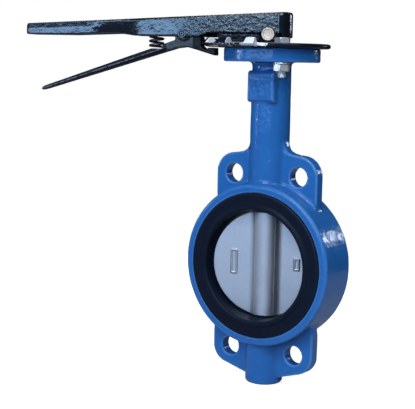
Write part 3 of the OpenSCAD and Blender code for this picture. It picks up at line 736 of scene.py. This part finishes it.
def make_trigger(paint, gloss):
    """Cast trigger, glossy about its pivot, with a fine ridge along both sides of its tail."""
    gloss_from, gloss_to = 74, 100
    upper_slope, lower_slope, deepest, crest_round, painted_crest_highlight_half = 0.19, 0.34, 2.5, 0.4, 0.4
    piece = skin("trigger", "trigger_casting", 0.55)
    mesh = piece.data
    s, t, z = lever_coords(relax(mesh, points(mesh), 4, keep_size=True))
    # The sides fall away above and below the ridge, which is left standing
    tail = ease(98, 108, s)
    ridge = np.interp(s, [92.8, 226.3], [201.8, 157.7])
    away = np.sqrt((z - ridge) ** 2 + crest_round) - math.sqrt(crest_round)
    slope = np.where(z > ridge, upper_slope, lower_slope)
    on_side = ease(1.0, 2.0, np.abs(t))
    t -= np.sign(t) * on_side * np.minimum(slope * away * tail, deepest)
    co = from_lever_coords(s, t, z)
    roughen(mesh, "trigger", co, 0.08 * lumps(co, 5, 6) - 0.05)
    measure_edges(mesh, 6, 0.25)
    # The crest mark places the painted highlight along the ridge
    store(mesh, "crest", tail * np.exp(-((z - ridge) / painted_crest_highlight_half) ** 2))
    finish_piece(piece, paint, "trigger", "lever_paint", "trigger")
    refinish(piece, gloss, (s > gloss_from) & (s < gloss_to))


def make_plate(paint):
    """Locking plate. Bare steel: the ends of the teeth, the last tooth and the rim below it."""
    piece = skin("notch_plate", "notch_plate_pressed", 0.6)
    mesh = piece.data
    set_points(mesh, kept_inside("notch_plate", relax(mesh, points(mesh), 3, keep_size=True)))
    x, y, z = valve_coords(points(mesh))
    # The angle is the lever's own: 0 with the valve closed, 90 with it open
    radius, turn = np.hypot(x, y), np.arctan2(-y, -x)
    angle = np.degrees(turn)
    round_plate = np.stack((np.sin(turn), -np.cos(turn), 0 * turn), 1)
    looks_round = np.abs((normals(mesh) * round_plate).sum(1))
    on_teeth = ease(51.4, 52.2, radius) * ease(200.4, 201.0, z)
    ends = ease(0.45, 0.75, looks_round)
    last_tooth = ease(94, 96, angle) * (1 - ease(107, 109, angle)) * ease(202.9, 203.7, z)
    rim = ease(201.0, 201.8, z) * (1 - ease(203.6, 204.2, z))
    rim *= (0.42 * ease(60, 66, angle) + 0.58 * ease(92, 97, angle)) * (1 - ease(114, 117, angle))
    store(mesh, "bare", on_teeth * np.maximum(np.maximum(ends, last_tooth), rim))
    measure_edges(mesh, 5, 0.2)
    finish_piece(piece, paint, "valve_body", "plate_paint", "notch_plate")


def make_stem(steel):
    """Turned stem."""
    piece = skin("stem", "stem_turned", 0.6)
    mesh = piece.data
    set_points(mesh, relax(mesh, points(mesh), 3, keep_size=True))
    measure_edges(mesh, 5, 0.2)
    finish_piece(piece, steel, "turning_group", "stem_steel", "stem")


# ---------------------------------------------------------------- fasteners and spring

def make_plate_fixings(zinc):
    """Two M8 bolts with their washers and nuts through the top flange."""
    spots = (("front", 24.75, -24.75, 17), ("back", -24.75, 24.75, 41))
    across_flats, head_height = 13, 4.8
    low, head_top = (h.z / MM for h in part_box("plate_bolts"))
    nut_low, nut_high = (h.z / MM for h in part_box("plate_nuts"))
    ring_low, ring_high = (h.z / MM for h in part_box("plate_washers"))
    head_low = head_top - head_height
    head = hexagon_rings(across_flats, head_low, head_top, chamfer_low=False)
    bolt = [grid_mesh("head", head),
            grid_mesh("shank", thread_rings(M8_RADIUS, low + 1.2, head_low, M8_PITCH)),
            lathe("point", [(0, low), (2.6, low), (3.45, low + 1.4), (0, low + 1.4)])]
    nut = [grid_mesh("nut", hexagon_rings(across_flats, nut_low, nut_high))]
    washer = [lathe("washer", [(4.3, ring_low), (7.7, ring_low), (8.0, ring_low + 0.3),
                               (8.0, ring_high - 0.3), (7.7, ring_high), (4.3, ring_high)])]
    for kind, meshes in (("plate_bolts", bolt), ("plate_nuts", nut), ("plate_washers", washer)):
        for side, x, y, spin in spots:
            turn = Matrix.Rotation(math.radians(spin), 4, "Z")
            place = Matrix.Translation((x * MM, y * MM, 0)) @ turn
            piece = placed(f"{kind}_{side}", meshes, place)
            finish_piece(piece, zinc, "valve_body", "zinc_steel", kind)


def across_lever(s, z, spin=0.0):
    """Matrix from a piece's own Z to the lever's near side, at a distance and a height in mm."""
    axes = Matrix((ALONG, UP, NEAR)).transposed().to_4x4()
    origin = ALONG * (s * MM) + UP * (z * MM)
    return Matrix.Translation(origin) @ axes @ Matrix.Rotation(spin, 4, "Z")


def make_set_screw(zinc):
    """M8 hexagon screw, with a shallow forged dish in its head."""
    across_flats, tip, head_low, head_high = 12, 5.7, 16.0, 20.8
    dish = [(6.0, head_low + 0.2), (5.7, head_high), (4.6, head_high), (4.1, head_high - 0.45),
            (1.6, head_high - 0.6), (1.2, head_high - 0.35), (0, head_high - 0.35)]
    # The hexagon ends below the dish, which closes it
    head = hexagon_rings(across_flats, head_low, head_high - 0.1)[:-1]
    meshes = [grid_mesh("head", head, closed_ends=False),
              lathe("dish", dish),
              grid_mesh("shank", thread_rings(M8_RADIUS, tip, head_low, M8_PITCH))]
    piece = placed("lever_set_screw_turned", meshes, across_lever(0, 212.5, math.radians(12)))
    finish_piece(piece, zinc, "turning_group", "zinc_steel", "lever_set_screw")


def make_pivot_pin(paint, gloss):
    """Pin whose head has a turned ring and a centre mark, and whose tail is grooved."""
    tail_end, head_low, top = -18.0, 14.93, 15.73
    profile = [
        (0, tail_end), (2.4, tail_end), (3.0, -17.4), (3.0, -16.0),
        (2.5, -15.9), (2.5, -15.2), (3.0, -15.1), (3.0, head_low),
        (3.9, head_low), (3.9, top - 0.25), (3.6, top), (2.9, top),
        (2.8, top - 1.3), (1.9, top - 1.3), (1.8, top - 0.05), (1.0, top - 0.05),
        (0.9, top - 0.9), (0, top - 0.9)]
    piece = placed("pivot_pin_turned", [lathe("pin", profile, 48)], across_lever(82.8, 212))
    finish_piece(piece, paint, "turning_group", "lever_paint", "pivot_pin")
    on_head = lever_coords(points(piece.data))[1] > top - 0.3
    refinish(piece, gloss, on_head)


def make_spring(steel):
    """Round wire coil with a closed turn at both ends."""
    wire, coil, turns, steps, sides = 1.2, 6.2, 5.5, 40, 12
    distance, clearance = 112, 0.02
    low, high = (h.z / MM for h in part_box("trigger_spring"))
    low, high = low + wire + clearance, high - wire - clearance
    total = int(turns * steps)
    closed = 0.6 * steps
    rings = []
    for i in range(total + 1):
        climb = np.interp(i, [0, closed, total - closed, total], [0, 0.07, 0.93, 1])
        a = 2 * math.pi * i / steps
        h = low + (high - low) * climb
        ring = []
        for b in around(sides):
            r = coil + wire * math.cos(b)
            ring.append((r * math.cos(a), r * math.sin(a), h + wire * math.sin(b)))
        rings.append(ring)
    place = Matrix.Translation(ALONG * (distance * MM))
    piece = placed("trigger_spring_coil", [grid_mesh("coil", rings)], place)
    finish_piece(piece, steel, "turning_group", "spring_steel", "trigger_spring")
    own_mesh(piece)


# ---------------------------------------------------------------- build

bpy.context.scene.view_settings.view_transform = "Standard"
make_camera()
make_world()
make_lights()
make_floor(floor_paper())

enamel = blue_enamel()
zinc = zinc_steel("zinc_steel", (0.50, 0.51, 0.54), (0.66, 0.67, 0.70), 0.09)
worn_zinc = zinc_steel("worn_zinc_steel", (0.38, 0.29, 0.22), (0.52, 0.42, 0.34), 0.0)
black, dull, spring = lever_paint(), trigger_paint("trigger_paint", 0.10), spring_steel()
bronze = turned_metal("bush_bronze", (0.42, 0.26, 0.11), (0.62, 0.42, 0.20))
bright = turned_metal("stem_steel", (0.48, 0.49, 0.52), (0.66, 0.67, 0.70))
rubber = ring_rubber()

make_body(enamel)
make_seat(seat_rubber())
make_disc(disc_steel())
make_lever(black, dull)
make_trigger(dull, trigger_paint("trigger_gloss", 0.38))
make_plate(plate_paint())
make_stem(bright)
make_plate_fixings(zinc)
make_set_screw(worn_zinc)
make_pivot_pin(dull, black)
make_spring(spring)

# Hidden pieces keep their CAD meshes and only get a material
carried_over = {
    "upper_bush": bronze, "middle_bush": bronze, "lower_bush": bronze,
    "thrust_washer": zinc, "retaining_ring": spring, "pin_clip": zinc,
    "stem_o_rings": rubber, "disc_o_rings": rubber,
}
for name, material in carried_over.items():
    nodes[name].data.materials.clear()
    nodes[name].data.materials.append(material)
